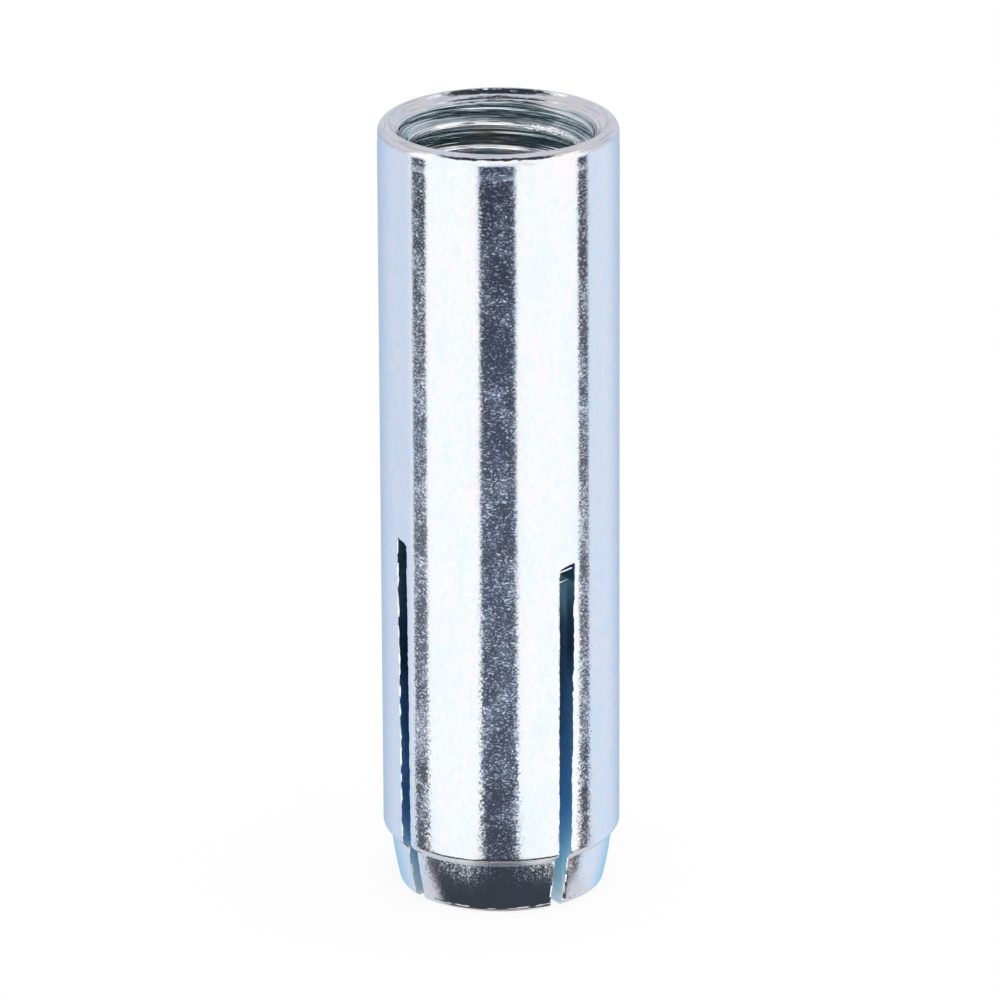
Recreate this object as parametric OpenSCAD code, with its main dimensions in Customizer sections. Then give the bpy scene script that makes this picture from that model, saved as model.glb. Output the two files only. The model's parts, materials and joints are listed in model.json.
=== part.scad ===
// Drop in anchor, M16 x 65: a slotted steel sleeve with a tapped upper bore, and the loose
// cone plug inside it that a setting tool drives down to spread the four legs.
// The sleeve stands on its slotted end, with its axis along Z.

/* [Sleeve] */
// Overall length of the sleeve
sleeve_len = 65; // [55:0.5:80]
// Outside diameter of the body, which goes into a 20 mm drilled hole
body_d = 19.4; // [18.6:0.1:22]
// Radius of the rounded outer edge at the mouth
lip_r = 0.8; // [0.3:0.05:1.2]
// Width of the flat left on top of the rim
rim_flat = 0.1; // [0.05:0.05:0.6]

/* [Mouth and thread] */
// Tapping diameter of the M16 thread
thread_bore_d = 14; // [13.4:0.1:14.6]
// Depth of the tapped bore, from the rim
thread_depth = 26; // [12:0.5:29]
// Included angle of the countersink at the mouth
sink_angle = 90; // [60:5:120]

/* [Nose] */
// Height of the tapered nose at the slotted end
nose_h = 4.2; // [2:0.1:8]
// Angle of the nose's taper to the axis
nose_angle = 9.5; // [0:0.5:14]
// Radial depth of the step from the body to the nose
step_depth = 0.65; // [0.2:0.05:1.2]
// Height of the chamfer on that step
step_h = 0.7; // [0.2:0.1:2]
// Radius of the rounded edge at the foot
foot_edge_r = 0.35; // [0.1:0.05:0.6]

/* [Slots] */
// Width of the saw cut
slot_w = 1.3; // [0.8:0.1:2.5]
// Height of the two slots along X, where they end on the outside
slot_x_len = 31.3; // [20:0.1:33]
// Height of the two slots along Y, where they end on the outside
slot_y_len = 30; // [20:0.1:33]
// Diameter of the slitting saw, which rounds the slots' ends
saw_d = 52; // [40:1:80]

/* [Expansion bore] */
// Radial step from the tapped bore in to the plug's bore
bore_step = 0.25; // [0.1:0.05:0.6]
// Height of the upper end of the inner taper
taper_top = 26; // [20:0.5:28]
// Height of the straight land below the inner taper
land_h = 4; // [1:0.5:6]
// Bore diameter of that land, at the foot
foot_bore_d = 9.8; // [8:0.1:11.5]
// Size of the chamfer on the bore's edge at the foot
foot_chamfer = 0.4; // [0.1:0.1:1]

/* [Plug] */
// Length of the plug's cylinder, above its cone
plug_cyl_len = 8; // [4:0.5:10]
// Length of the plug's cone
plug_cone_len = 14; // [8:0.5:15]
// Radial play between the plug and the bore that holds it
plug_play = 0.1; // [0.05:0.05:0.3]
// Chamfer on the plug's two edges
plug_chamfer = 0.6; // [0.2:0.1:1.2]

/* [Hidden] */
$fn = 96;

// How far a cut runs past the face that it opens
over = 1;

zinc = [0.78, 0.82, 0.88];
plain_steel = [0.66, 0.68, 0.70];

body_r = body_d / 2;
thread_bore_r = thread_bore_d / 2;
plug_bore_r = thread_bore_r - bore_step;
foot_bore_r = foot_bore_d / 2;
saw_r = saw_d / 2;

// Nose: its radius under the step, and at the foot if the edge were sharp
nose_r = body_r - step_depth;
foot_r = nose_r - nose_h * tan(nose_angle);
step_top = nose_h + step_h;

// Centre of the foot's rounded edge, which touches the ground and the nose's cone
foot_edge_x = foot_r + foot_edge_r * tan(nose_angle) - foot_edge_r / cos(nose_angle);

// Countersink: its radius at the rim, and its depth down to the tapped bore
sink_r = body_r - lip_r - rim_flat;
sink_slope = tan(sink_angle / 2);
sink_h = (sink_r - thread_bore_r) / sink_slope;
thread_bottom = sleeve_len - thread_depth;

// Radial loss of the inner taper for each millimetre down, which the plug's cone shares
taper_slope = (plug_bore_r - foot_bore_r) / (taper_top - land_h);

plug_r = plug_bore_r - plug_play;
plug_tip_r = plug_r - plug_cone_len * taper_slope;

// Outside of the sleeve, from the axis out
module outer_section() {
    translate([0, step_top])
        square([body_r, sleeve_len - lip_r - step_top]);
    translate([0, step_top])
        square([body_r - lip_r, sleeve_len - step_top]);
    translate([body_r - lip_r, sleeve_len - lip_r])
        circle(lip_r);
    nose_section();
}

// Tapered nose with its chamfered step and rounded foot
module nose_section() {
    translate([foot_edge_x, foot_edge_r])
        circle(foot_edge_r);
    polygon([
        [0, 0],
        [foot_edge_x, 0],
        [foot_edge_x + foot_edge_r * cos(nose_angle), foot_edge_r * (1 - sin(nose_angle))],
        [nose_r, nose_h],
        [body_r, step_top],
        [0, step_top]
    ]);
}

// Inside of the sleeve: countersink, tapped bore, plug bore, taper and land
module bore_section() {
    polygon([
        [0, -over],
        [foot_bore_r + foot_chamfer + over, -over],
        [foot_bore_r, foot_chamfer],
        [foot_bore_r, land_h],
        [plug_bore_r, taper_top],
        [plug_bore_r, thread_bottom - bore_step],
        [thread_bore_r, thread_bottom],
        [thread_bore_r, sleeve_len - sink_h],
        [sink_r + over * sink_slope, sleeve_len + over],
        [0, sleeve_len + over]
    ]);
}

// One pass of the slitting saw, fed up along the axis, which cuts two opposite slots
module saw_pass(slot_len) {
    saw_centre = slot_len - sqrt(saw_r * saw_r - body_r * body_r);
    rotate([90, 0, 0])
        linear_extrude(slot_w, center = true) {
            translate([0, saw_centre])
                circle(saw_r);
            translate([-saw_r, saw_centre - slot_len - saw_r])
                square([2 * saw_r, slot_len + saw_r]);
        }
}

module sleeve() {
    color(zinc)
        difference() {
            rotate_extrude()
                difference() {
                    outer_section();
                    bore_section();
                }
            saw_pass(slot_x_len);
            rotate([0, 0, 90])
                saw_pass(slot_y_len);
        }
}

// Half section of the plug, with its cone parallel to the sleeve's inner taper
module plug_section() {
    plug_top = taper_top + plug_cyl_len;
    plug_tip = taper_top - plug_cone_len;
    polygon([
        [0, plug_tip],
        [plug_tip_r - plug_chamfer, plug_tip],
        [plug_tip_r + plug_chamfer * taper_slope, plug_tip + plug_chamfer],
        [plug_r, taper_top],
        [plug_r, plug_top - plug_chamfer],
        [plug_r - plug_chamfer, plug_top],
        [0, plug_top]
    ]);
}

module expander_plug() {
    color(plain_steel)
        rotate_extrude()
            plug_section();
}

sleeve();
expander_plug();
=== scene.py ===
import json
import math

import bmesh
import bpy
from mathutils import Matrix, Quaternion, Vector

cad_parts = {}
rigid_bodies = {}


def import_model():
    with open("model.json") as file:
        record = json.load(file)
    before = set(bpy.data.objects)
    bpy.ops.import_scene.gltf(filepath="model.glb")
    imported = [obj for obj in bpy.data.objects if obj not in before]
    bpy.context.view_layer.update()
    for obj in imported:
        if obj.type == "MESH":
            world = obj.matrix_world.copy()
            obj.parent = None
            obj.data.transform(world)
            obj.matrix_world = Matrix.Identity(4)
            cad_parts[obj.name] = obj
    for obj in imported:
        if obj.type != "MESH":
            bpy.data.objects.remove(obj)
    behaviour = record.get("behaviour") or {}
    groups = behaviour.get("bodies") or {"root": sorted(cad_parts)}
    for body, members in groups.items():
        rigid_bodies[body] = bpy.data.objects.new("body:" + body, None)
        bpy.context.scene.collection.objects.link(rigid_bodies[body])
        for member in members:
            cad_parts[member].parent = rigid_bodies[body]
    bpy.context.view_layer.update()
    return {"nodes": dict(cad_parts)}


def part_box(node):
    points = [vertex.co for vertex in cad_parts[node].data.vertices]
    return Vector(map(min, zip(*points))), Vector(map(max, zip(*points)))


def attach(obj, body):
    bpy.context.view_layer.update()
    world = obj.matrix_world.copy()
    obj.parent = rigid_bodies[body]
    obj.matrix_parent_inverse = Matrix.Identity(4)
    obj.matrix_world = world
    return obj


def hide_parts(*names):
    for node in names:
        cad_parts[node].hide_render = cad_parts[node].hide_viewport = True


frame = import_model()
mm = 0.001  # the frame is in metres, and the shapes below are written in millimetres


# Shader wiring

class Wire:
    # one output socket: sums on it add Math nodes, and node() adds any other node
    def __init__(self, tree, socket=None):
        self.tree = tree
        self.socket = socket

    def node(self, kind, settings=None, sockets=None, out=0):
        made = self.tree.nodes.new(kind)
        for name, value in (settings or {}).items():
            if name == "stops":
                setStops(made.color_ramp, value)
            else:
                setattr(made, name, value)
        for key, value in (sockets or {}).items():
            if isinstance(value, Wire):
                self.tree.links.new(value.socket, made.inputs[key])
            else:
                made.inputs[key].default_value = value
        return Wire(self.tree, made.outputs[out])

    def maths(self, operation, *values):
        return self.node("ShaderNodeMath", {"operation": operation}, dict(enumerate(values)))

    def vectors(self, operation, *values, out=0):
        return self.node("ShaderNodeVectorMath", {"operation": operation}, dict(enumerate(values)), out)

    def mix(self, factor, first, second, kind="MIX"):
        settings = {"data_type": "RGBA", "blend_type": kind}
        return self.node("ShaderNodeMix", settings, {0: factor, 6: first, 7: second}, 2)

    def rise(self, low, high):
        # 0 below low, 1 above high, and a smooth step between them
        sockets = {"Value": self, "From Min": low, "From Max": high}
        return self.node("ShaderNodeMapRange", {"interpolation_type": "SMOOTHSTEP"}, sockets)

    def past(self, place, soft):
        # the same step round one place
        return self.rise(place - soft, place + soft)

    def within(self, low, high, soft):
        return self.past(low, soft) * (1 - self.past(high, soft))

    def above(self, low, high, amount):
        return self.rise(low, high) * amount

    def below(self, low, high, amount):
        return (1 - self.rise(low, high)) * amount

    def noise(self, scale, detail=2.0, rough=0.5, warp=0.0):
        sockets = {"Vector": self, "Scale": scale, "Detail": detail, "Roughness": rough, "Distortion": warp}
        return self.node("ShaderNodeTexNoise", {"noise_dimensions": "3D"}, sockets)

    def pattern(self, size, stretch=(1, 1, 1), **shape):
        # noise with grains of a size in millimetres
        return self.stretch(*stretch).noise(1 / (size * mm), **shape)

    def lines(self, scale):
        # noise along this one value
        sockets = {"W": self, "Scale": scale, "Detail": 3.0}
        return self.node("ShaderNodeTexNoise", {"noise_dimensions": "1D"}, sockets)

    def along(self, direction):
        return self.vectors("DOT_PRODUCT", self, direction, out=1)

    def stretch(self, x, y, z):
        return self.vectors("MULTIPLY", self, (x, y, z))

    def vector(self, x=0.0, y=0.0, z=0.0):
        return self.node("ShaderNodeCombineXYZ", None, {0: x, 1: y, 2: z})

    def part(self, axis):
        return self.node("ShaderNodeSeparateXYZ", None, {0: self}, axis)

    def __add__(self, other):
        return self.maths("ADD", self, other)

    def __radd__(self, other):
        return self.maths("ADD", other, self)

    def __sub__(self, other):
        return self.maths("SUBTRACT", self, other)

    def __rsub__(self, other):
        return self.maths("SUBTRACT", other, self)

    def __mul__(self, other):
        return self.maths("MULTIPLY", self, other)

    def __rmul__(self, other):
        return self.maths("MULTIPLY", other, self)

    def __truediv__(self, other):
        return self.maths("DIVIDE", self, other)


def setStops(ramp, stops):
    while len(ramp.elements) < len(stops):
        ramp.elements.new(0.5)
    for element, (place, colour) in zip(ramp.elements, stops):
        element.position = place
        element.color = colour


def newMaterial(name):
    material = bpy.data.materials.new(name)
    material.use_nodes = True
    tree = material.node_tree
    tree.nodes.clear()
    return material, Wire(tree)


def closeMaterial(start, shader):
    end = start.tree.nodes.new("ShaderNodeOutputMaterial")
    start.tree.links.new(shader.socket, end.inputs["Surface"])


def finishMetal(start, colour, roughness, normal, metallic=1.0):
    # plated or bare metal: only colour, roughness and normal change over the surface
    sockets = {"Base Color": colour, "Metallic": metallic, "Roughness": roughness, "Normal": normal}
    closeMaterial(start, start.node("ShaderNodeBsdfPrincipled", None, sockets))


def placeOn(start):
    # place on the piece, and from it the radius and the height in millimetres
    place = start.node("ShaderNodeTexCoord", out="Object")
    r = start.vectors("LENGTH", place.stretch(1, 1, 0), out=1) / mm
    return place, r, place.part(2) / mm


def turnAngle(start, place, seam):
    # angle round the axis in radians, which jumps where the seam is
    a = math.radians(seam)
    east = place.along((-math.cos(a), -math.sin(a), 0))
    north = place.along((math.sin(a), -math.cos(a), 0))
    return start.maths("ARCTAN2", north, east)


def leanUp(start, normal, amount):
    # tips a normal towards +Z
    return start.vectors("NORMALIZE", start.vectors("ADD", normal, start.vector(z=amount)))


def bumped(start, height, depth, strength=1.0):
    sockets = {"Strength": strength, "Distance": depth * mm, "Height": height}
    return start.node("ShaderNodeBump", None, sockets)


# Hand tools

def clearSelection():
    if bpy.context.mode != "OBJECT":
        bpy.ops.object.mode_set(mode="OBJECT")
    bpy.ops.object.select_all(action="DESELECT")


def choose(obj):
    clearSelection()
    obj.select_set(True)
    bpy.context.view_layer.objects.active = obj


def openMesh(obj):
    # opens a mesh with all its points selected
    choose(obj)
    bpy.ops.object.mode_set(mode="EDIT")
    bpy.ops.mesh.select_mode(type="VERT")
    bpy.ops.mesh.select_all(action="SELECT")


def faceOut():
    bpy.ops.mesh.select_all(action="SELECT")
    bpy.ops.mesh.normals_make_consistent(inside=False)


def pick(obj, kind, test):
    # selects what passes the test in the mesh that is open
    bpy.ops.mesh.select_mode(type=kind)
    bpy.ops.mesh.select_all(action="DESELECT")
    mesh = bmesh.from_edit_mesh(obj.data)
    group = {"VERT": mesh.verts, "EDGE": mesh.edges, "FACE": mesh.faces}[kind]
    chosen = [item for item in group if test(item)]
    for item in chosen:
        item.select_set(True)
    mesh.select_flush_mode()
    bmesh.update_edit_mesh(obj.data)
    return len(chosen)


def applyModifier(obj, modifier):
    choose(obj)
    bpy.ops.object.modifier_apply(modifier=modifier.name)


def combine(obj, tool, operation):
    # joins the tool to a piece, or cuts with it, and then the tool goes
    modifier = obj.modifiers.new(tool.name, "BOOLEAN")
    modifier.operation = operation
    modifier.solver = "MANIFOLD"
    modifier.object = tool
    applyModifier(obj, modifier)
    bpy.data.objects.remove(tool)


def offAxis(point):
    return math.hypot(point.x, point.y)


def arc(centreR, centreZ, radius, start, stop, steps):
    # section points on an arc, with the angles in degrees from the outward direction
    points = []
    for i in range(steps + 1):
        a = math.radians(start + (stop - start) * i / steps)
        points.append((centreR + radius * math.cos(a), centreZ + radius * math.sin(a)))
    return points


def rows(start, stop, gap):
    # section points between two points, evenly spaced, with the last one left out
    count = max(1, round(math.dist(start, stop) / gap))
    return [(start[0] + (stop[0] - start[0]) * i / count,
             start[1] + (stop[1] - start[1]) * i / count) for i in range(count)]


# Slotted sleeve

sleeveLow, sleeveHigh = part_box("sleeve")
sleeveShape = {
    "bodyR": (sleeveHigh.x - sleeveLow.x) / 2 / mm,
    "length": (sleeveHigh.z - sleeveLow.z) / mm,
    "columns": 256,
    "slotColumns": 8,
    # mouth: rounded lip, crest of the rim, and the rings of the countersink, in and down
    "lipR": 0.8,
    "rimFlat": 0.1,
    "rimDrop": 0.01,
    "crestFlat": 0.035,
    "sinkSteps": [(0.33, 0.37), (0.32, 0.19), (0.08, 0.10), (0.16, 0.10), (1.16, 1.38)],
    "sinkEase": 0.06,  # share of each ring that eases into the next
    # collar under the lip, a little slimmer than the body
    "collarDrop": 0.026,
    "collarZ": 63.1,
    "collarSlope": 0.42,
    "collarEase": (0.06, 0.08, 0.004),  # rows that ease its slope: near, far and inwards
    "collarFoot": 0.6,
    # step, nose and foot
    "stepTop": 5.03,
    "stepDepth": 0.65,
    "stepRound": 0.45,
    "noseH": 4.33,
    "noseAngle": 9.5,
    "noseBelly": 0.075,  # how far the nose bulges out of a straight cone
    "footRound": 0.35,
    "footInset": 0.3,
    # thin broken bead just above the foot
    "beadZ": 0.40, "beadH": 0.018, "beadHalf": 0.03,
    "beadFromR": 7.9, "beadClear": 0.3,
    "beadRows": (0.18, 0.10, 0.05, 0.02, -0.02, -0.05),
    "beadWaves": [(9, 0.0, 1.0), (22, 1.3, 1.0), (41, 0.0, 0.8)],  # count, start and size
    "beadShare": (0.6, 0.5),  # mean height of the dashes, and their swing
    # bore, with a few rows below and above the ends of the slots
    "footBoreR": 4.9,
    "footChamfer": 0.4,
    "landInset": 0.4,
    "landH": 4.0,
    "taperTop": 26.0,
    "plugBoreR": 6.75,
    "boreLow": (27.6, 29.2),
    "boreHigh": (35.0, 38.0),
    "boreTop": 41.0,
    # spacing of the rows
    "bodyRows": 1.6, "slotRows": 0.36, "footRows": 0.8,
    "landRows": 1.2, "taperRows": 1.4, "boreRows": 3.0, "sinkRows": 0.3,
    # slots: outer and inner ends, and then widths and sideways run, at the foot and at the end
    "slotXEnds": (31.3, 32.29),
    "slotYEnds": (30.0, 30.99),
    "slotXWidths": (1.10, 1.24),
    "slotYWidths": (1.08, 1.42),
    "slotXLean": (-0.47, -0.13),
    "slotYLean": (-0.28, 0.0),
    "slotXSlant": (0.0, -0.30, -0.12),  # end of the slot: left corner, rise to the right, right corner
    "slotYSlant": (-0.12, 0.36, -0.05),
    "slotRun": 30.0,  # height that the widths and the lean are spread over
    "slotTop": 33.0,  # nothing of a slot reaches higher
    "guardRows": (32.4, 31.85),
    "midRows": (0.45, 0.42),  # rows between the two pairs' ends
    "slotReach": 0.9,  # a slot's edges lie within this of its middle
    "slotFromR": 4.0,
    "endNear": (1.02, 0.05),  # what counts as an end, across and up
    "cornerFrom": 0.5,
    "wallFrom": 0.2,
    "wallMiddle": 7.2,  # radius between the inside and the outside
    # edges that the saw left
    "edgeBreak": 0.11,
    "edgeBend": 50.0,
    "edgeReach": 0.85,
    "edgeFrom": 0.8,  # the edges stay sharp below this height
    "ragged": 0.028,
    "raggedSeed": 11,
}
tiny = 1e-3  # heights and angles closer than this are the same


def sinkSection(s):
    # the countersink from its foot up to the rim, in a few rings that the tool left
    r, z = s["bodyR"] - s["lipR"] - s["rimFlat"], s["length"] - s["rimDrop"]
    points = [(r, z)]
    for inwards, down in s["sinkSteps"]:
        r, z = r - inwards, z - down
        points.insert(0, (r, z))
    return points


def lipSection(s):
    # crest of the rim, rounded lip, and the slope from the collar out to the body
    bodyR, top, lipR = s["bodyR"], s["length"], s["lipR"]
    collarR = bodyR - s["collarDrop"]
    crestR = bodyR - lipR - s["rimFlat"]
    collarTop = s["collarZ"] + s["collarSlope"]
    near, far, inwards = s["collarEase"]
    points = [(crestR, top - s["rimDrop"]), (crestR + s["crestFlat"], top)]
    points += arc(collarR - lipR, top - lipR, lipR, 90, 0, steps=14)
    points += [(collarR, top - lipR - far), (collarR, collarTop + far)]
    points += [(collarR + inwards, collarTop - near)]
    points += [(bodyR - inwards, s["collarZ"] + near), (bodyR, s["collarZ"] - far)]
    return points


def bodySection(s):
    # down the body, past the ends of the slots, and round the edge of the step
    bodyR, stepRound = s["bodyR"], s["stepRound"]
    endX, endY = s["slotXEnds"][0], s["slotYEnds"][0]
    below, above = s["midRows"]
    points = rows((bodyR, s["collarZ"] - s["collarFoot"]), (bodyR, s["slotTop"]), s["bodyRows"])
    heights = [s["slotTop"], *s["guardRows"], endX, endX - below, endY + above]
    points += [(bodyR, z) for z in heights]
    turn = math.atan2(s["stepDepth"], s["stepTop"] - s["noseH"])
    edgeZ = s["stepTop"] + stepRound * math.tan(turn / 2)
    points += rows((bodyR, endY), (bodyR, edgeZ), s["slotRows"])
    points += arc(bodyR - stepRound, edgeZ, stepRound, 0, -math.degrees(turn), steps=5)
    return points


def noseSection(s):
    # nose with its belly and the rows of its bead, round the foot and in to the bore
    noseR = s["bodyR"] - s["stepDepth"]
    slope = math.radians(s["noseAngle"])
    footR = noseR - s["noseH"] * math.tan(slope)
    edgeR = s["footRound"]
    edgeX = footR + edgeR * math.tan(slope) - edgeR / math.cos(slope)
    noseEnd = (edgeX + edgeR * math.cos(slope), edgeR * (1 - math.sin(slope)))
    cone = rows((noseR, s["noseH"]), noseEnd, s["slotRows"])
    heights = [z for r, z in cone if z > s["beadZ"] + s["beadClear"]]
    heights += [s["beadZ"] + above for above in s["beadRows"]]
    points = []
    for z in heights:
        share = (s["noseH"] - z) / (s["noseH"] - noseEnd[1])
        r = noseR + (noseEnd[0] - noseR) * share
        points.append((r + 4 * s["noseBelly"] * share * (1 - share), z))
    points += arc(edgeX, edgeR, edgeR, -s["noseAngle"], -90, steps=6)
    points += rows((edgeX - s["footInset"], 0), (s["footBoreR"] + s["footChamfer"], 0), s["footRows"])
    return points


def boreSection(s):
    # up the bore from its chamfer to the countersink, which ends at the rim
    footR, plugR = s["footBoreR"], s["plugBoreR"]
    points = [(footR + s["footChamfer"], 0), (footR, s["footChamfer"])]
    points += rows((footR, s["footChamfer"] + s["landInset"]), (footR, s["landH"]), s["landRows"])
    points += rows((footR, s["landH"]), (plugR, s["taperTop"]), s["taperRows"])
    heights = [s["taperTop"], *s["boreLow"], s["slotYEnds"][1], s["slotXEnds"][1], *s["boreHigh"]]
    points += [(plugR, z) for z in heights]
    sink = sinkSection(s)
    points += rows((plugR, s["boreTop"]), sink[0], s["boreRows"])
    for lower, upper in zip(sink, sink[1:]):
        points += rows(lower, upper, s["sinkRows"])
        points.append(tuple(high - (high - low) * s["sinkEase"] for low, high in zip(lower, upper)))
    return points


def sleeveSection(s):
    return lipSection(s) + bodySection(s) + noseSection(s) + boreSection(s)


def turnSection(name, points, columns):
    # a ring is extruded and resized along the section, and its ends are bridged
    clearSelection()
    r, z = points[0]
    bpy.ops.mesh.primitive_circle_add(vertices=columns, radius=r * mm, location=(0, 0, 0))
    obj = bpy.context.object
    obj.name = name
    obj.data.name = name
    openMesh(obj)
    bpy.ops.transform.translate(value=(0, 0, z * mm))
    for nextR, nextZ in points[1:]:
        bpy.ops.mesh.extrude_region_move(TRANSFORM_OT_translate={"value": (0, 0, (nextZ - z) * mm)})
        bpy.ops.transform.resize(value=(nextR / r, nextR / r, 1), center_override=(0, 0, 0))
        r, z = nextR, nextZ
    pick(obj, "EDGE", lambda edge: edge.is_boundary)
    bpy.ops.mesh.bridge_edge_loops()
    faceOut()
    return obj


def raiseBead(obj, s):
    # the turning tool left the bead, which is broken into dashes
    mean, swing = s["beadShare"]
    mesh = bmesh.from_edit_mesh(obj.data)
    for vert in mesh.verts:
        r = offAxis(vert.co)
        if r > s["beadFromR"] * mm and abs(vert.co.z / mm - s["beadZ"]) < s["beadHalf"]:
            a = math.atan2(vert.co.y, vert.co.x)
            wave = sum(size * math.sin(count * a + start) for count, start, size in s["beadWaves"])
            vert.co.xy *= 1 + s["beadH"] * mm * min(1, max(0, mean + swing * wave)) / r
    bmesh.update_edit_mesh(obj.data)


def slotTurn(point):
    # angle from the nearest slot's middle, in degrees, and whether that slot is along X
    angle = math.degrees(math.atan2(point.y, point.x))
    quarter = round(angle / 90)
    return angle - quarter * 90, quarter % 2 == 0


def slotEnds(alongX, s):
    return s["slotXEnds"] if alongX else s["slotYEnds"]


def slotWidth(point, alongX, s):
    # width of a slot at a point's height, in millimetres
    foot, end = s["slotXWidths"] if alongX else s["slotYWidths"]
    return foot + (end - foot) * min(point.z / mm, s["slotTop"]) / s["slotRun"]


def slotLean(point, alongX, s):
    # how far the middle of a slot has run off, in the direction that turns with the sleeve
    foot, end = s["slotXLean"] if alongX else s["slotYLean"]
    facing = point.x if alongX else -point.y
    return math.copysign(1, facing) * (foot + (end - foot) * min(1, point.z / mm / s["slotRun"]))


def acrossSlot(point, s):
    # millimetres from the middle of the nearest slot, and whether that slot is along X
    turn, alongX = slotTurn(point)
    across = offAxis(point) / mm * math.sin(math.radians(turn))
    return across - slotLean(point, alongX, s), alongX


def openSlots(obj, s, edgeTurn):
    def isSlotFace(face):
        middle = face.calc_center_median() / mm
        turn, alongX = slotTurn(middle)
        outside = offAxis(middle) > s["wallMiddle"]
        return abs(turn) <= edgeTurn and middle.z < slotEnds(alongX, s)[0 if outside else 1]

    found = pick(obj, "FACE", isSlotFace)
    bpy.ops.mesh.delete(type="FACE")
    print("sleeve slots opened,", found, "faces out")


def squareSlots(obj, s, edgeTurn):
    # columns are moved so that the slots get straight, parallel walls
    mesh = bmesh.from_edit_mesh(obj.data)
    for vert in mesh.verts:
        r = offAxis(vert.co)
        turn, alongX = slotTurn(vert.co)
        base = math.atan2(vert.co.y, vert.co.x) - math.radians(turn)
        half = slotWidth(vert.co, alongX, s) / 2 * mm
        lean = slotLean(vert.co, alongX, s) * mm
        if abs(turn) <= edgeTurn + tiny:
            angle = math.asin((half * turn / edgeTurn + lean) / r)
        else:
            edge = math.asin((math.copysign(half, turn) + lean) / r)
            corner = math.copysign(math.pi / 4, turn)
            angle = edge + (abs(turn) - edgeTurn) / (45 - edgeTurn) * (corner - edge)
        vert.co.x = r * math.cos(base + angle)
        vert.co.y = r * math.sin(base + angle)
    bmesh.update_edit_mesh(obj.data)


def closeSlots(obj, s):
    # each slot gets its end face, and then its two walls
    for quarter in range(4):
        alongX = quarter % 2 == 0
        endZ = slotEnds(alongX, s)[0] - tiny
        middle = Vector((math.cos(quarter * math.pi / 2), math.sin(quarter * math.pi / 2), 0))

        def aside(point):
            return middle.cross(point).z / mm - slotLean(point, alongX, s)

        def onSlot(edge):
            half = (edge.verts[0].co + edge.verts[1].co) / 2
            near = half.dot(middle) > s["slotFromR"] * mm
            return edge.is_boundary and near and abs(aside(half)) < s["slotReach"]

        def onEnd(edge):
            heights = [vert.co.z / mm for vert in edge.verts]
            return onSlot(edge) and max(heights) - min(heights) < tiny and min(heights) > endZ

        pick(obj, "EDGE", onEnd)
        bpy.ops.mesh.bridge_edge_loops(number_cuts=2)
        for side in (1, -1):
            pick(obj, "EDGE", lambda edge: onSlot(edge) and side * aside(edge.verts[0].co) > s["wallFrom"])
            bpy.ops.mesh.edge_face_add()


def slantEnds(obj, s):
    # the saw left the ends of the slots a little askew, with one corner rounder than the other
    acrossTo, upTo = s["endNear"]
    mesh = bmesh.from_edit_mesh(obj.data)
    for vert in mesh.verts:
        r = offAxis(vert.co) / mm
        across, alongX = acrossSlot(vert.co, s)
        across = across / slotWidth(vert.co, alongX, s) * 2  # from -1 to 1 between the walls
        outer, inner = slotEnds(alongX, s)
        left, rise, right = s["slotXSlant"] if alongX else s["slotYSlant"]
        height = outer + (s["bodyR"] - r) / (s["bodyR"] - s["plugBoreR"]) * (inner - outer)
        if abs(across) < acrossTo and abs(vert.co.z / mm - height) < upTo:
            corner = max(0, (abs(across) - s["cornerFrom"]) / (1 - s["cornerFrom"])) ** 2
            vert.co.z += (rise * across / 2 + corner * (left if across < 0 else right)) * mm
    bmesh.update_edit_mesh(obj.data)


def cutSlots(obj, s):
    edgeTurn = 360 / s["columns"] * s["slotColumns"] / 2
    openSlots(obj, s, edgeTurn)
    squareSlots(obj, s, edgeTurn)
    closeSlots(obj, s)
    slantEnds(obj, s)
    faceOut()


def breakSlotEdges(obj, s):
    # a small bevel round each slot's mouth, left a little ragged by the saw
    def isMouth(edge):
        if len(edge.link_faces) != 2:
            return False
        middle = (edge.verts[0].co + edge.verts[1].co) / 2
        sharp = math.degrees(edge.calc_face_angle(0)) > s["edgeBend"]
        near = abs(acrossSlot(middle, s)[0]) < s["edgeReach"]
        return sharp and near and s["edgeFrom"] < middle.z / mm < s["slotTop"]

    found = pick(obj, "EDGE", isMouth)
    bpy.ops.mesh.bevel(offset=s["edgeBreak"] * mm, segments=2, affect="EDGES", clamp_overlap=False)
    print("slot edges broken,", found, "edges")
    bpy.ops.mesh.select_mode(type="VERT")
    bpy.ops.transform.vertex_random(offset=s["ragged"] * mm, uniform=1.0, normal=0.0, seed=s["raggedSeed"])
    mesh = bmesh.from_edit_mesh(obj.data)
    for vert in mesh.verts:  # nothing leaves the sleeve's outline
        r = offAxis(vert.co) / mm
        if r > s["bodyR"]:
            vert.co.xy *= s["bodyR"] / r
        vert.co.z = max(vert.co.z, 0)
    bmesh.update_edit_mesh(obj.data)


sleeve = turnSection("zinc_sleeve", sleeveSection(sleeveShape), sleeveShape["columns"])
print("sleeve section turned,", len(sleeveSection(sleeveShape)), "rings")
raiseBead(sleeve, sleeveShape)
cutSlots(sleeve, sleeveShape)
breakSlotEdges(sleeve, sleeveShape)
clearSelection()


# Burrs that the saw left near the end of one slot

burrShape = {
    # middle, size, rise of the right end, and what the right end is narrowed to
    "slivers": [((0.0, -9.28, 29.46), (1.76, 0.22, 0.17), 0.26, 1.0),
                ((-0.25, -9.28, 28.62), (1.20, 0.22, 0.15), 0.14, 0.35)],
    "edge": 0.04,
}


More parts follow.
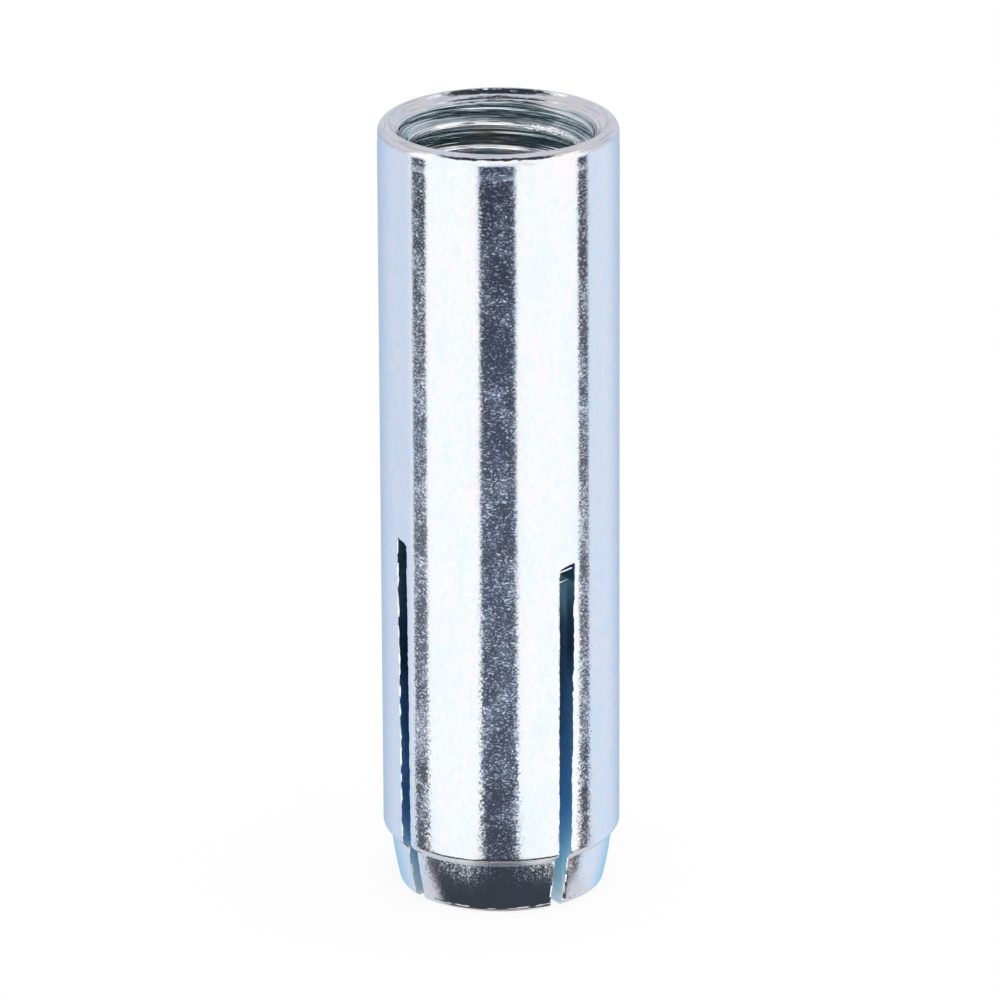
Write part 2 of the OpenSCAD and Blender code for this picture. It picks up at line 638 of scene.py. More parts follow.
def addBurr(obj, middle, size, rise, narrow, edge):
    clearSelection()
    bpy.ops.mesh.primitive_cube_add(size=mm, location=(0, 0, 0))
    burr = bpy.context.object
    burr.name = "burr"
    openMesh(burr)
    bpy.ops.transform.resize(value=size, center_override=(0, 0, 0))
    pick(burr, "VERT", lambda vert: vert.co.x > 0)
    bpy.ops.transform.resize(value=(1, narrow, narrow), center_override=(0, 0, 0))
    bpy.ops.transform.translate(value=(0, 0, rise * mm))
    bpy.ops.mesh.select_all(action="SELECT")
    bpy.ops.transform.translate(value=[part * mm for part in middle])
    bpy.ops.mesh.bevel(offset=edge * mm, segments=2, affect="EDGES")
    faceOut()
    clearSelection()
    combine(obj, burr, "UNION")


for sliver in burrShape["slivers"]:
    addBurr(sleeve, *sliver, burrShape["edge"])
print("burrs added,", len(sleeve.data.polygons), "faces")


# Thread in the mouth

threadShape = {
    "pitch": 2.0,
    "ridgeR": 6.93,
    "grooveR": 8.28,
    "ridgeFlat": 0.40,
    "ridgeSlant": 0.15,  # the crests lean back towards the mouth
    "grooveFlat": 0.26,
    "round": 0.09,
    "bottom": 39.0,
    "turns": 15,
    "steps": 180,
    "ridgeZ": 62.52,  # height of a ridge at the angle below, in degrees from X
    "ridgeTurn": 56.0,
    "weld": (0.0005, 0.0008),  # nearer points are merged: in the tap, and after the cut
    # torn stretch of the crest
    "chipTurns": (-22.0, 37.0),
    "chipNear": (0.34, 0.4),  # up and outwards
    "chipSize": 0.03,
    "chipSeed": 5,
    "chipRate": 0.7,
    "chipGaps": 3,  # one step in this many stays whole
}


def tapProfile(t):
    # one pitch of the thread's outline, from the middle of a ridge to the middle of the next
    half = t["pitch"] / 2
    ridge, groove = t["ridgeFlat"] / 2, half - t["grooveFlat"] / 2
    flank = math.hypot(t["grooveR"] - t["ridgeR"], groove - ridge)
    alongR = (t["grooveR"] - t["ridgeR"]) / flank * t["round"]
    alongZ = (groove - ridge) / flank * t["round"]
    # each corner is rounded by points at these shares of the rounding
    before, inCorner, up = 0.7, (0.35, 0.3), 0.1
    rise = [(t["ridgeR"], 0.0), (t["ridgeR"], ridge - t["round"] * before),
            (t["ridgeR"] + inCorner[0] * alongR, ridge + up * alongZ),
            (t["ridgeR"] + alongR, ridge + alongZ),
            (t["grooveR"] - alongR, groove - alongZ),
            (t["grooveR"] - inCorner[1] * alongR, groove + up * alongZ),
            (t["grooveR"], groove + t["round"] * before)]
    fall = [(r, t["pitch"] - z) for r, z in reversed(rise)]
    slant = t["ridgeSlant"] / t["ridgeFlat"]
    rise = [(r + slant * max(0, ridge + min(z, ridge)) * (z < 2 * ridge), z) for r, z in rise]
    fall = [(r + slant * max(0, ridge - t["pitch"] + z), z) for r, z in fall]
    return rise + fall[:-1]


def makeTap(t):
    # a single point is drawn out along the outline, and the Screw modifier winds it up
    clearSelection()
    bpy.ops.mesh.primitive_circle_add(vertices=3, radius=mm, location=(0, 0, 0))
    tap = bpy.context.object
    tap.name = "tap"
    openMesh(tap)
    bpy.ops.mesh.merge(type="CENTER")
    start = t["ridgeZ"] - t["pitch"] * t["ridgeTurn"] / 360
    start -= t["pitch"] * math.ceil((start - t["bottom"]) / t["pitch"])
    outline = [(0.0, start)]
    for turn in range(t["turns"]):
        outline += [(r, z + start + turn * t["pitch"]) for r, z in tapProfile(t)]
    outline += [(t["ridgeR"], start + t["turns"] * t["pitch"]), (0.0, start + t["turns"] * t["pitch"])]
    bpy.ops.transform.translate(value=(0, 0, start * mm))
    for (r, z), (nextR, nextZ) in zip(outline, outline[1:]):
        move = ((nextR - r) * mm, 0, (nextZ - z) * mm)
        bpy.ops.mesh.extrude_region_move(TRANSFORM_OT_translate={"value": move})
    clearSelection()
    screw = tap.modifiers.new("winding", "SCREW")
    screw.axis = "Z"
    screw.angle = math.tau
    screw.screw_offset = t["pitch"] * mm
    screw.steps = screw.render_steps = t["steps"]
    screw.use_merge_vertices = False
    applyModifier(tap, screw)
    openMesh(tap)
    bpy.ops.mesh.remove_doubles(threshold=t["weld"][0] * mm)
    pick(tap, "EDGE", lambda edge: edge.is_boundary)
    bpy.ops.mesh.fill_holes(sides=0)
    faceOut()
    loose = pick(tap, "EDGE", lambda edge: len(edge.link_faces) != 2)
    print("tap wound,", len(tap.data.vertices), "points,", loose, "open edges")
    clearSelection()
    return tap


def cutThread(obj, tap, t):
    combine(obj, tap, "DIFFERENCE")
    openMesh(obj)
    bpy.ops.mesh.remove_doubles(threshold=t["weld"][1] * mm)
    bpy.ops.mesh.dissolve_degenerate(threshold=t["weld"][1] * mm)
    openEdges = pick(obj, "EDGE", lambda edge: len(edge.link_faces) != 2)
    print("thread cut,", openEdges, "open edges")


def tearCrest(obj, t):
    # one stretch of the crest is torn into small chips
    def onCrest(face):
        middle = face.calc_center_median() / mm
        turn = math.degrees(math.atan2(middle.y, middle.x))
        height = t["ridgeZ"] + t["pitch"] * (turn - t["ridgeTurn"]) / 360
        low, high = t["chipTurns"]
        up, outwards = t["chipNear"]
        near = abs(middle.z - height) < up and offAxis(middle) < t["ridgeR"] + outwards
        return low < turn < high and near and int(turn * t["chipRate"]) % t["chipGaps"] > 0

    found = pick(obj, "FACE", onCrest)
    bpy.ops.mesh.subdivide(number_cuts=1)
    bpy.ops.mesh.select_mode(type="VERT")
    bpy.ops.mesh.select_less()
    bpy.ops.transform.vertex_random(offset=t["chipSize"] * mm, uniform=1.0, normal=0.0, seed=t["chipSeed"])
    print("crest torn,", found, "faces")


cutThread(sleeve, makeTap(threadShape), threadShape)
tearCrest(sleeve, threadShape)
clearSelection()


# Zinc finishes

zincLook = {
    "pale": (0.83, 0.86, 0.90, 1),
    "cool": (0.72, 0.84, 0.95, 1),
    "rosy": (0.93, 0.84, 0.86, 1),
    "shade": (0.88, 0.90, 0.93, 1),
    "beige": (0.90, 0.87, 0.80, 1),
    "rimShade": (0.60, 0.62, 0.68, 1),
    "sheen": 0.09,
    "rougher": (0.15, 0.05, 0.05),  # added in the specks, on the rim and at the foot
    # heights and radii between which each part of the sleeve fades into the next
    "rimZ": (64.1, 64.5),
    "insideR": (9.2, 9.35),
    "insideZ": (7.0, 8.0),
    "topZ": (44.0, 60.0),
    "footZ": (3.0, 14.0),
    "noseZ": (4.5, 4.9),
    # patterns, with their sizes in millimetres
    "crystals": {"size": 0.22, "stretch": (0.6, 0.6, 1), "detail": 2.5, "rough": 0.6, "warp": 0.5},
    "noseCrystals": {"size": 0.2, "rough": 0.6, "warp": 0.5},
    "clusters": {"size": 1 / 0.56, "stretch": (1, 1, 0.8)},
    "streaks": {"size": 1.0, "stretch": (1, 1, 0.07), "detail": 3.0, "rough": 0.6},
    "tints": {"size": 1 / 0.38, "stretch": (1, 1, 0.35), "detail": 3.0, "rough": 0.55},
    "flecks": {"size": 0.5, "stretch": (1, 1, 0.6), "detail": 3.0, "rough": 0.6},
    "grain": {"size": 0.35, "stretch": (1, 1, 0.5), "detail": 3.0, "rough": 0.6},
    "facets": {"size": 0.2, "detail": 1.0},
    # specks: how patchy they are, what is taken off, and the gain on the rest
    "patchy": 0.45,
    "speckGain": (0.09, 2.1),
    "noseCells": (0.08, 0.36),
    "noseFade": (0.8, 4.0),  # heights that the specks on the nose fade in between
    # tints: where in its pattern each one begins and is full, and how strong it is
    "rosyTint": (0.56, 0.72, 0.6),
    "coolTint": (0.30, 0.46, 0.5),
    "coolStreak": (0.5, 0.7, 0.3),
    "rosyFleck": (0.50, 0.66),
    "coolFleck": (0.34, 0.50),
    "fleckShare": (0.35, 0.5),  # everywhere, and what the painted sheen adds on the two sides seen edge-on
    # painted sheen: the plating's grazing-angle colours, as more flecks on the sides seen edge-on from the
    # camera
    "paintedSheenSide": (0.829, -0.559, 0),
    "paintedSheenFrom": (7.2, 9.2),
    "rimBeige": (0.4, 0.6, 0.4),
    "rimStroke": (0.48, 0.66, 0.6),
    "grainShade": (0.42, 0.62, 0.3),
    # rim: strokes and torn metal, per radian and per millimetre, and the countersink's lines
    "seam": -30.0,
    "strokes": (2.5, 7.0),
    "torn": (4.0, 1.5, 1.5),
    "tornScale": 3.0,
    "rimTorn": 0.7,
    "lineScale": 6.0,
    "rimLines": 0.26,
    # how the surface leans
    "speckTilt": (0.16, 0.19, 0.19, 0.10),  # crystals lean up: at the top, on the body, foot and nose
    "lean": (0.060, -0.004),  # the plating's mean lean, at the foot and at the mouth
    "leanZ": (8.0, 60.0),
    "leanPower": 0.4,
    "leanLoss": 0.35,  # share of it that is lost at the very foot
    "mouthZ": (59.0, 63.0),
    "wander": (0.045, 0.14),  # lean to each side, on the body and at the foot
    "wanderZ": (5.0, 38.0),
}


def zincSpecks(start, place, z, nose, rim, s):
    # crystals of the plating, in clusters on the body, and fading in on the nose
    crystals = place.pattern(**s["crystals"]) * (1 - nose) + place.pattern(**s["noseCrystals"]) * nose
    clusters = place.pattern(**s["clusters"])
    cells = start.maths("ABSOLUTE", crystals - 0.5) * 2
    less, gain = s["speckGain"]
    specks = start.maths("MAXIMUM", cells + s["patchy"] * (clusters - 0.5) - less, 0) * gain
    fade = nose * z.rise(*s["noseFade"])
    return (specks * (1 - nose) + cells.rise(*s["noseCells"]) * fade) * (1 - rim)


def zincColour(start, place, r, rim, s):
    tints = place.pattern(**s["tints"])
    streaks = place.pattern(**s["streaks"])
    flecks = place.pattern(**s["flecks"])
    grain = place.pattern(**s["grain"])
    # the flecks are the plating's own tints; the extra flecks on the two sides seen edge-on are painted
    # sheen
    aside = place.along(s["paintedSheenSide"]) / mm
    everywhere, onSides = s["fleckShare"]
    share = everywhere + onSides * start.maths("ABSOLUTE", aside).rise(*s["paintedSheenFrom"])
    roundwards, outwards = s["strokes"]
    turn = turnAngle(start, place, s["seam"])
    strokes = start.vector(turn * roundwards, r * outwards).noise(1.0, detail=3.0, rough=0.6)
    colour = start.mix(tints.above(*s["rosyTint"]), s["pale"], s["rosy"])
    colour = start.mix(tints.below(*s["coolTint"]), colour, s["cool"])
    colour = start.mix(streaks.above(*s["coolStreak"]), colour, s["cool"])
    colour = start.mix(flecks.above(*s["rosyFleck"], share), colour, s["rosy"])
    colour = start.mix(flecks.below(*s["coolFleck"], share), colour, s["cool"])
    colour = start.mix(tints.above(*s["rimBeige"]) * rim, colour, s["beige"])
    colour = start.mix(strokes.above(*s["rimStroke"]) * rim, colour, s["rimShade"], "MULTIPLY")
    return start.mix(grain.above(*s["grainShade"]), colour, s["shade"], "MULTIPLY")


def zincLean(start, z, specks, low, nose, rim, s):
    # how far the facets lean up: by the specks, and by the plating's mean lean
    topTilt, bodyTilt, footTilt, noseTilt = s["speckTilt"]
    tilt = bodyTilt + (topTilt - bodyTilt) * z.rise(*s["topZ"]) + (footTilt - bodyTilt) * low
    footLean, mouthLean = s["lean"]
    meanLean = footLean * start.maths("POWER", 1 - z.rise(*s["leanZ"]), s["leanPower"])
    meanLean = meanLean * (1 - s["leanLoss"] * low) + mouthLean * z.rise(*s["mouthZ"])
    return specks * (tilt + (noseTilt - tilt) * nose) + meanLean * (1 - nose) * (1 - rim)


def rimRipple(start, place, r, z, s):
    # the rim is torn a little, and shows the lines of the countersink
    roundwards, outwards, up = s["torn"]
    turn = turnAngle(start, place, s["seam"])
    torn = start.vector(turn * roundwards, r * outwards, z * up)
    torn = torn.noise(s["tornScale"], detail=3.0, rough=0.6)
    turned = r.lines(s["lineScale"])
    return (torn - 0.5) * s["rimTorn"] + (turned - 0.5) * s["rimLines"]


def bodyZinc(s):
    material, start = newMaterial("zinc_plate_body")
    place, r, z = placeOn(start)
    inside = (1 - r.rise(*s["insideR"])) * z.rise(*s["insideZ"])
    rim = start.maths("MAXIMUM", z.rise(*s["rimZ"]), inside)
    low = 1 - z.rise(*s["footZ"])
    nose = 1 - z.rise(*s["noseZ"])
    specks = zincSpecks(start, place, z, nose, rim, s)
    colour = zincColour(start, place, r, rim, s)
    inSpecks, onRim, atFoot = s["rougher"]
    roughness = s["sheen"] + inSpecks * specks + onRim * rim + atFoot * low

    # facets wander a little to each side, and lean up
    straight = start.node("ShaderNodeNewGeometry", out="Normal")
    sideways = start.vectors("CROSS_PRODUCT", straight, (0, 0, 1))
    bodyWander, footWander = s["wander"]
    wander = bodyWander + (footWander - bodyWander) * (1 - z.rise(*s["wanderZ"]))
    wander = (place.pattern(**s["facets"]) - 0.5) * wander * (1 - rim)
    tilted = start.vectors("MULTIPLY_ADD", sideways, start.vector(wander, wander, wander), straight)
    lean = zincLean(start, z, specks, low, nose, rim, s) + rim * rimRipple(start, place, r, z, s)
    finishMetal(start, colour, roughness, leanUp(start, tilted, lean))
    return material


threadLook = {
    "tealWithPaintedShade": (0.50, 0.61, 0.65, 1),
    "brown": (0.60, 0.55, 0.50, 1),
    # painted highlight colour for the crests and the paler drawn marks
    "pale": (0.92, 0.94, 0.97, 1),
    "paintedShadeColour": (0.15, 0.19, 0.22, 1),
    "ice": (0.78, 0.91, 0.98, 1),
    "sheen": (0.11, 0.12),  # evenly, and what the patches add
    # marks drawn along the thread
    "pitch": 2.0,
    "seam": -124.0,
    "drawnLong": 0.035,
    "drawnSlope": 0.5,
    "drawnScale": 4.6,
    "marks": 0.12,
    "patches": {"size": 1 / 0.42, "stretch": (0.4, 0.4, 1)},
    # where in its pattern each tint begins and is full, and how strong it is
    "brownPatch": (0.48, 0.68, 0.8),
    "paintedShadeMark": (0.36, 0.52),
    "paintedShadeShare": (0.8, 0.55),  # everywhere, and how much less on the side with painted light
    "paintedHighlightMark": (0.54, 0.64, 0.9),
    "iceShare": 0.6,
    "crestR": (7.10, 7.25),
    "paintedLightSide": (-0.829, 0.559, 0),  # painted light towards this side, where the thread is paler and icier
    "paintedLightFrom": (4.2, 6.6),
}


def threadZinc(s):
    material, start = newMaterial("zinc_plate_thread")
    place, r, z = placeOn(start)
    climb = turnAngle(start, place, s["seam"]) * (s["pitch"] / math.tau)
    along = z - climb + s["drawnSlope"] * r
    east, north = [place.part(axis) / mm * s["drawnLong"] for axis in (0, 1)]
    drawn = start.vector(east, north, along).noise(s["drawnScale"], detail=2.0, rough=0.6)
    patches = place.pattern(**s["patches"])
    # painted light: the thread turns paler and icier towards the camera's left side
    paintedLightShare = (place.along(s["paintedLightSide"]) / mm).rise(*s["paintedLightFrom"])
    shadeEverywhere, shadeLessWhereLit = s["paintedShadeShare"]
    # the thread is the same zinc as the body; its darker teal base is painted shade and painted reflection
    # inside the bore, with brown patches
    colour = start.mix(patches.above(*s["brownPatch"]), s["tealWithPaintedShade"], s["brown"])
    # painted shade along the darker drawn marks, less of it on the side with painted light
    colour = start.mix(drawn.below(*s["paintedShadeMark"], shadeEverywhere - shadeLessWhereLit * paintedLightShare), colour, s["paintedShadeColour"])
    colour = start.mix(paintedLightShare * s["iceShare"], colour, s["ice"])
    # painted highlight on the crests and along the paler drawn marks
    crest = 1 - r.rise(*s["crestR"])
    pale = start.maths("MAXIMUM", drawn.above(*s["paintedHighlightMark"]), crest)
    colour = start.mix(pale, colour, s["pale"])
    evenly, more = s["sheen"]
    finishMetal(start, colour, evenly + more * patches, bumped(start, drawn, s["marks"]))
    return material


slotLook = {
    # blue of the passivation from the foot up to this height, deepened as a painted reflection between the
    # walls, with painted light near the open foot and painted shade further up
    "stops": [(0.0, (0.86, 0.96, 1.0, 1)), (0.12, (0.50, 0.82, 0.96, 1)), (0.3, (0.17, 0.50, 0.84, 1)),
              (0.75, (0.10, 0.26, 0.47, 1)), (1.0, (0.26, 0.50, 0.62, 1))],
    "height": 30.0,
    "metallic": 0.45,
    "sheen": (0.3, 0.2),  # evenly, and what the marks add
    # marks of the saw, which also move the colours up and down
    "sawR": 70.0,
    "markScale": 3.4,
    "markShift": 4.0,
    "marks": 0.05,
    # painted shade on the two slots along X
    "shaded": (0.38, 0.47, 0.60, 1), "shadedZ": (2.0, 8.0),
    "shadedShare": (0.4, 0.6),  # at the foot, and what is added above
    "paintedShadeHigh": (0.60, 0.52, 0.52, 1), "paintedShadeHighZ": (18.0, 21.0),
    # shade towards the outside of all four
    "outer": (0.58, 0.64, 0.70, 1), "outerR": (8.3, 9.6), "outerZ": (4.0, 10.0),
    # painted shade, a painted light strip and painted shade at the top, in the two slots along Y
    "paintedShadeUpper": (0.36, 0.38, 0.44, 1), "paintedShadeUpperR": (8.3, 9.0), "paintedShadeUpperZ": (21.0, 27.0, 1.8),
    "paintedLightStrip": (0.45, 0.80, 1.0, 1), "paintedLightStripR": (8.25, 8.8), "paintedLightStripZ": (25.4, 28.3, 0.9),
    "burrShade": (0.30, 0.34, 0.40, 1), "burrZ": (28.4, 28.7),
}


def slotZinc(s):
    # blue passivated walls with the arcs of the saw's teeth, and painted light, painted shade and a painted
    # reflection in their colours
    material, start = newMaterial("zinc_plate_slot")
    place, r, z = placeOn(start)
    sawn = z - start.maths("SQRT", s["sawR"] ** 2 - r * r)
    marks = sawn.lines(s["markScale"])
    height = (z + s["markShift"] * (marks - 0.5)) / s["height"]
    # painted light near the open foot and painted shade further up the slot
    colour = start.node("ShaderNodeValToRGB", {"stops": s["stops"]}, {0: height})
    alongX = start.maths("ABSOLUTE", place.part(0)) - start.maths("ABSOLUTE", place.part(1))
    alongX = start.maths("GREATER_THAN", alongX, 0)
    alongY = 1 - alongX
    # painted shade on the two slots along X, less of it at the foot
    atFoot, above = s["shadedShare"]
    shaded = alongX * (atFoot + above * z.rise(*s["shadedZ"]))
    colour = start.mix(shaded, colour, s["shaded"], "MULTIPLY")
    # more painted shade in the upper part of the two slots along X
    colour = start.mix(alongX * z.rise(*s["paintedShadeHighZ"]), colour, s["paintedShadeHigh"], "MULTIPLY")
    outer = r.rise(*s["outerR"]) * z.rise(*s["outerZ"])
    colour = start.mix(outer, colour, s["outer"], "MULTIPLY")
    # painted shade on the outer part of the walls, high in the two slots along Y
    paintedShadeUpper = r.rise(*s["paintedShadeUpperR"]) * z.within(*s["paintedShadeUpperZ"]) * alongY
    colour = start.mix(paintedShadeUpper, colour, s["paintedShadeUpper"], "MULTIPLY")
    # painted light: a light blue strip on the inner part of the walls, high in the two slots along Y
    paintedLightStrip = (1 - r.rise(*s["paintedLightStripR"])) * z.within(*s["paintedLightStripZ"]) * alongY
    colour = start.mix(paintedLightStrip, colour, s["paintedLightStrip"])
    colour = start.mix(z.rise(*s["burrZ"]) * alongY, colour, s["burrShade"], "MULTIPLY")
    evenly, more = s["sheen"]
    normal = bumped(start, marks, s["marks"])
    finishMetal(start, colour, evenly + more * marks, normal, s["metallic"])
    return material


edgeLook = {
    "paintedHighlight": (0.97, 0.98, 1.0, 1),
    "grey": (0.84, 0.87, 0.92, 1),
    "scuffs": {"size": 0.3, "detail": 3.0, "rough": 0.6},
    "scuffed": (0.45, 0.65),
    "sheen": (0.14, 0.15),  # evenly, and what the scuffs add
    "lean": (0.22, 0.3),  # the wear leans the edges up, evenly and by its scuffs
}


def edgeZinc(s):
    # painted highlight on the broken edges of the slots, greyer where scuffed
    material, start = newMaterial("zinc_plate_edge")
    place = start.node("ShaderNodeTexCoord", out="Object")
    scuffs = place.pattern(**s["scuffs"])
    # painted highlight: the edges are painted near white, grey where scuffed
    colour = start.mix(scuffs.rise(*s["scuffed"]), s["paintedHighlight"], s["grey"])
    straight = start.node("ShaderNodeNewGeometry", out="Normal")
    meanLean, scuffLean = s["lean"]
    normal = leanUp(start, straight, meanLean + scuffLean * (scuffs - 0.5))
    evenly, more = s["sheen"]
    finishMetal(start, colour, evenly + more * scuffs, normal)
    return material


sleevePaint = {
    # which faces get which finish
    "threadZ": (38.5, 64.6),
    "threadR": 8.6,
    "sinkFacing": 0.5,
    "sinkNear": 0.02,
    "wallReach": 0.76,
    "wallFacing": 0.85,
    "endR": 9.6, "endZ": 29.0, "endFacing": -0.8,
    "edgeFromR": 7.6,
    "edgeReach": (0.4, 0.9),
    "edgeFacing": (0.25, 0.97),
}


def between(value, limits):
    return limits[0] < value < limits[1]


def offLine(point, line):
    # how far a section point lies above or below a line of points that rises outwards
    for (lowR, lowZ), (highR, highZ) in zip(line, line[1:]):
        if lowR <= point[0] <= highR:
            return abs(point[1] - lowZ - (point[0] - lowR) / (highR - lowR) * (highZ - lowZ))
    return 1.0


def finishOf(polygon, sink, s, p):
    # index of a face's finish: 0 body, 1 thread, 2 sawn walls, 3 broken edges
    middle, normal = polygon.center, polygon.normal
    r, z = offAxis(middle) / mm, middle.z / mm
    across, alongX = acrossSlot(middle, s)
    facing = abs(normal.y if alongX else normal.x)
    onSink = r > sink[1][0] and normal.z > p["sinkFacing"] and offLine((r, z), sink) < p["sinkNear"]
    if between(z, p["threadZ"]) and r < p["threadR"] and not onSink:
        return 1
    onEdge = between(abs(across), p["edgeReach"]) and between(facing, p["edgeFacing"])
    if onEdge and r > p["edgeFromR"] and s["edgeFrom"] < z < s["slotTop"]:
        return 3
    onEnd = r < p["endR"] and normal.z < p["endFacing"] and z > p["endZ"]
    inSlot = z < s["slotTop"] and abs(across) < p["wallReach"]
    return 2 if inSlot and (onEnd or facing > p["wallFacing"]) else 0


def paintSleeve(obj, s):
    obj.data.materials.clear()
    finishes = bodyZinc(zincLook), threadZinc(threadLook), slotZinc(slotLook), edgeZinc(edgeLook)
    for material in finishes:
        obj.data.materials.append(material)
    sink = sinkSection(s)
    for polygon in obj.data.polygons:
        polygon.material_index = finishOf(polygon, sink, s, sleevePaint)


smoothTo = 32.0  # edges that bend more than this stay sharp, in degrees
paintSleeve(sleeve, sleeveShape)
choose(sleeve)
bpy.ops.object.shade_smooth_by_angle(angle=math.radians(smoothTo))
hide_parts("sleeve")
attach(sleeve, "root")
print("sleeve finished,", len(sleeve.data.polygons), "faces")


# Plain plug

steelLook = {
    "grey": (0.48, 0.50, 0.52, 1),
    "pale": (0.62, 0.61, 0.60, 1),
    "patches": {"size": 1 / 0.45},
    "markScale": 5.0,
    "marks": 0.03,
    "markStrength": 0.6,
    "sheen": (0.26, 0.14),  # evenly, and what the patches add
}


def turnedSteel(s):
    material, start = newMaterial("plain_turned_steel")
    place, r, z = placeOn(start)
    marks = (r + z).lines(s["markScale"])
    patches = place.pattern(**s["patches"])
    colour = start.mix(patches, s["grey"], s["pale"])
    normal = bumped(start, marks, s["marks"], s["markStrength"])
    evenly, more = s["sheen"]
    finishMetal(start, colour, evenly + more * patches, normal)
    return material


plug = frame["nodes"]["expander_plug"]
plug.data.materials.clear()
plug.data.materials.append(turnedSteel(steelLook))
print("plug finished")


# Studio

studio = {
    # camera, round the axis in degrees from -Y and above the horizon
    "cameraTurn": -34.0,
    "cameraLift": 20.2,
    "cameraFar": 0.6590,
    "lens": 292.5,
    "sensor": 36.0,
    "clip": (0.01, 50.0),
    "aimZ": 32.78,
    "roll": -0.27,
    # floor and lamp, in metres
    "floorSize": 6.0,
    "floorMatt": (0.92, 0.92, 0.92, 1),
    "floorWhite": 0.88,  # share of plain white that the camera sees
    "lampSize": 0.9, "lampPower": 7.0, "lampPlace": (0.1, -0.1, 1.2),
    "white": (1, 1, 1, 1),
    # walls, which fade in between two angles round from the camera or above the horizon
    "sideTurn": (86.0, 98.0),
    "behindTurn": (118.0, 165.0),
    "leftToRight": (-20.0, 20.0),
    "behindLift": (-25.0, -20.0),
    "backLift": (-12.0, 4.0),
    "box": (1.15, 1.15, 1.13, 1),
    "leftSide": (0.72, 0.80, 0.93, 1),
    "rightSide": (0.79, 0.87, 0.99, 1),
    "behind": (0.49, 0.60, 0.78, 1),
    "behindLow": (0.36, 0.64, 0.84, 1),
    "backWall": (0.70, 0.69, 0.74, 1),
    "wallTop": (56.0, 4.0),  # edge, and how soft it is
    # dark gaps between the soft boxes
    "frontGap": (-18.4, 15.4),
    "leftGap": (-90.3, -74.0),
    "rightGap": (81.0, 93.6),
    "gapSoft": 1.5,
    "gapFrom": 18.0,  # the gaps widen from this far below the horizon
    "gapSpread": (1.1, 0.28, 0.20),
    "frontTop": (-18.5, 9.0),  # the gaps fade out between these heights
    "sideTop": (-17.8, -11.4),
    "veilTop": (-11.4, 1.6),
    "hazeTop": (-5.0, 15.0),
    "haze": (0.85, 0.98, 1.25, 1),
    "gapFront": (0.043, 0.050, 0.078, 1),
    "gapSide": (0.070, 0.072, 0.092, 1),
    "veil": (0.55, 0.60, 0.71, 1),
    # table, and what lies further down
    "tableTurn": (78.0, 92.0),
    "tableFront": (0.045, 0.055, 0.07, 1),
    "tableSides": (0.73, 0.73, 0.76, 1),
    "tableEdge": (-35.0, 2.0),
    "beige": (0.85, 0.81, 0.77, 1),
    "underneath": (-62.0, 3.0),
    "below": (0.17, 0.17, 0.20, 1),
    "nadir": (-76.0, 3.0),
    # dark panel above, from the top to the front, its half width, and how soft its edges are
    "overheadTurn": (92.0, 122.0, 2.0),
    "overheadHalf": (0.62, 0.08),
    "dark": (0.030, 0.033, 0.045, 1),
}


def makeCamera(s):
    turn, lift = math.radians(s["cameraTurn"]), math.radians(s["cameraLift"])
    back = Vector((math.sin(turn) * math.cos(lift), -math.cos(turn) * math.cos(lift), math.sin(lift)))
    data = bpy.data.cameras.new("camera")
    data.lens = s["lens"]
    data.sensor_width = s["sensor"]
    camera = bpy.data.objects.new("camera", data)
    bpy.context.scene.collection.objects.link(camera)
    camera.location = Vector((0, 0, s["aimZ"] * mm)) + back * s["cameraFar"]
    camera.rotation_mode = "QUATERNION"
    roll = Quaternion((0, 0, 1), math.radians(s["roll"]))
    camera.rotation_quaternion = (-back).to_track_quat("-Z", "Y") @ roll
    data.clip_start, data.clip_end = s["clip"]
    bpy.context.scene.camera = camera


def makeFloor(s):
    clearSelection()
    size = s["floorSize"]
    bpy.ops.mesh.primitive_grid_add(x_subdivisions=4, y_subdivisions=4, size=size, location=(0, 0, 0))
    floor = bpy.context.object
    floor.name = "floor"
    material, start = newMaterial("pale_floor")
    ray = start.node("ShaderNodeLightPath", out="Is Camera Ray")
    matt = start.node("ShaderNodeBsdfDiffuse", None, {"Color": s["floorMatt"]})
    glow = start.node("ShaderNodeEmission", None, {"Color": s["white"], "Strength": 1.0})
    both = start.node("ShaderNodeMixShader", None, {0: ray * s["floorWhite"], 1: matt, 2: glow})
    closeMaterial(start, both)
    floor.data.materials.append(material)
    floor.visible_glossy = False  # metal shows the soft boxes of the studio instead


def makeLamp(s):
    data = bpy.data.lights.new("overhead", "AREA")
    data.shape = "DISK"
    data.size = s["lampSize"]
    data.energy = s["lampPower"]
    lamp = bpy.data.objects.new("overhead", data)
    lamp.location = s["lampPlace"]
    lamp.visible_glossy = False
    bpy.context.scene.collection.objects.link(lamp)


def studioWalls(start, around, away, lift, s):
    # soft boxes in front, and the walls beside and behind them
    behind = start.mix(lift.rise(*s["behindLift"]), s["behindLow"], s["behind"])
    sides = start.mix(around.rise(*s["leftToRight"]), s["leftSide"], s["rightSide"])
    sides = start.mix(away.rise(*s["behindTurn"]), sides, behind)
    sides = start.mix(lift.rise(*s["backLift"]), sides, s["backWall"])
    return start.mix(away.rise(*s["sideTurn"]), s["box"], sides)


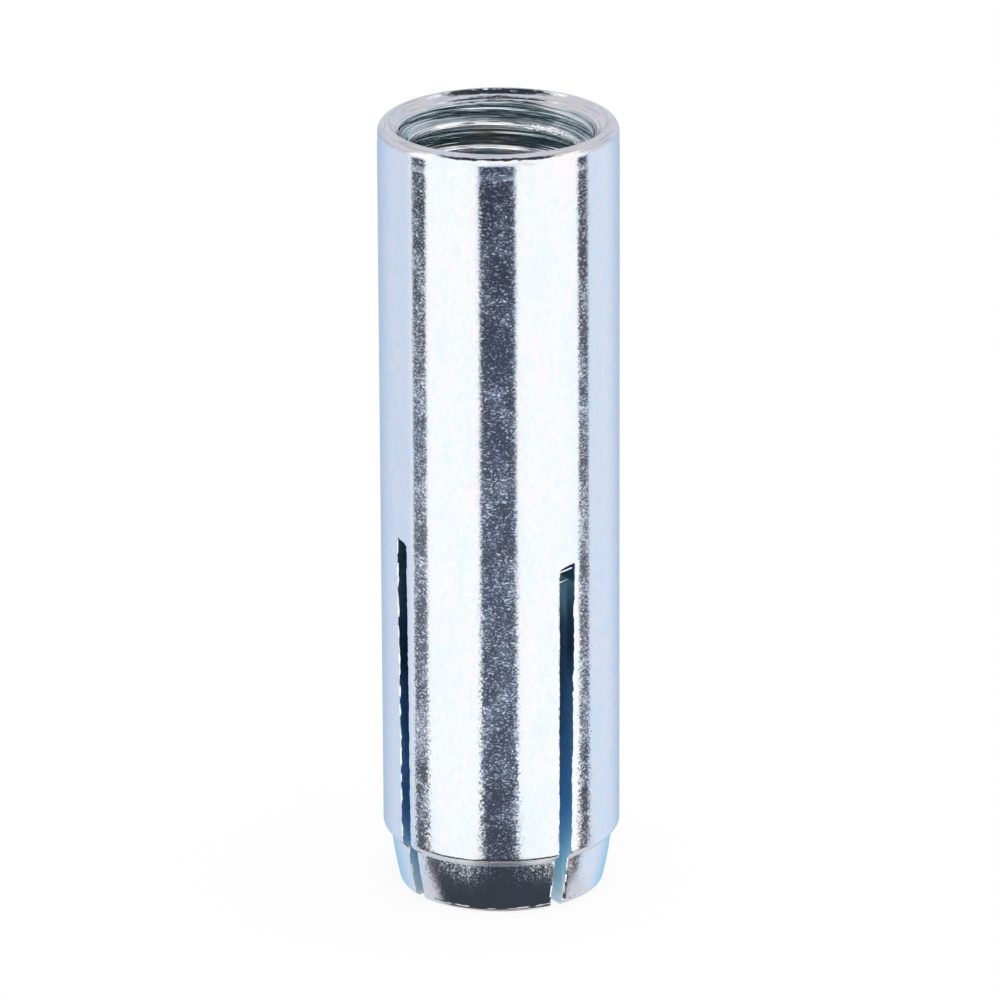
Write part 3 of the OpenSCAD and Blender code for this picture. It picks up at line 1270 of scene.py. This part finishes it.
def darkGaps(start, colour, around, lift, s):
    # gaps between the boxes, at the height that the body shows
    soft = s["gapSoft"]
    first, second, third = s["gapSpread"]
    drop = start.maths("MAXIMUM", 0 - lift - s["gapFrom"], 0)
    left, right = s["frontGap"]
    gap = (around + first * drop).past(left, soft) * (1 - (around - second * drop * drop).past(right, soft))
    colour = start.mix(lift.below(*s["hazeTop"], gap), colour, s["haze"])
    colour = start.mix(lift.below(*s["frontTop"], gap), colour, s["gapFront"])
    left, right = s["leftGap"]
    gap = around.past(left, soft) * (1 - (around - third * drop * drop).past(right, soft))
    gap = gap + around.within(*s["rightGap"], soft)
    colour = start.mix(lift.below(*s["veilTop"], gap), colour, s["veil"])
    return start.mix(lift.below(*s["sideTop"], gap), colour, s["gapSide"])


def studioTable(start, colour, away, lift, s):
    table = start.mix(away.rise(*s["tableTurn"]), s["tableFront"], s["tableSides"])
    colour = start.mix(1 - lift.past(*s["tableEdge"]), colour, table)
    colour = start.mix(1 - lift.past(*s["underneath"]), colour, s["beige"])
    return start.mix(1 - lift.past(*s["nadir"]), colour, s["below"])


def darkPanel(start, way, front, right, s):
    over = start.maths("ARCTAN2", way.part(2), 0 - front) * math.degrees(1)
    aside = start.maths("ABSOLUTE", right)
    return over.within(*s["overheadTurn"]) * (1 - aside.past(*s["overheadHalf"]))


def makeWorld(s):
    world = bpy.data.worlds.new("studio")
    bpy.context.scene.world = world
    world.use_nodes = True
    tree = world.node_tree
    tree.nodes.clear()
    start = Wire(tree)
    turn = math.radians(s["cameraTurn"])
    way = start.node("ShaderNodeTexCoord", out="Generated")
    front = way.along((math.sin(turn), -math.cos(turn), 0))
    right = way.along((math.cos(turn), math.sin(turn), 0))
    around = start.maths("ARCTAN2", right, front) * math.degrees(1)
    lift = start.maths("ARCSINE", way.part(2)) * math.degrees(1)
    away = start.maths("ABSOLUTE", around)
    colour = studioWalls(start, around, away, lift, s)
    colour = darkGaps(start, colour, around, lift, s)
    colour = studioTable(start, colour, away, lift, s)
    colour = start.mix(lift.past(*s["wallTop"]), colour, s["backWall"])
    colour = start.mix(darkPanel(start, way, front, right, s), colour, s["dark"])
    camera = start.node("ShaderNodeLightPath", out="Is Camera Ray")
    colour = start.mix(camera, colour, s["white"])
    shown = start.node("ShaderNodeBackground", None, {"Color": colour, "Strength": 1.0})
    end = tree.nodes.new("ShaderNodeOutputWorld")
    tree.links.new(shown.socket, end.inputs["Surface"])


makeCamera(studio)
makeFloor(studio)
makeLamp(studio)
makeWorld(studio)
bpy.context.scene.view_settings.view_transform = "Standard"
print("studio set")
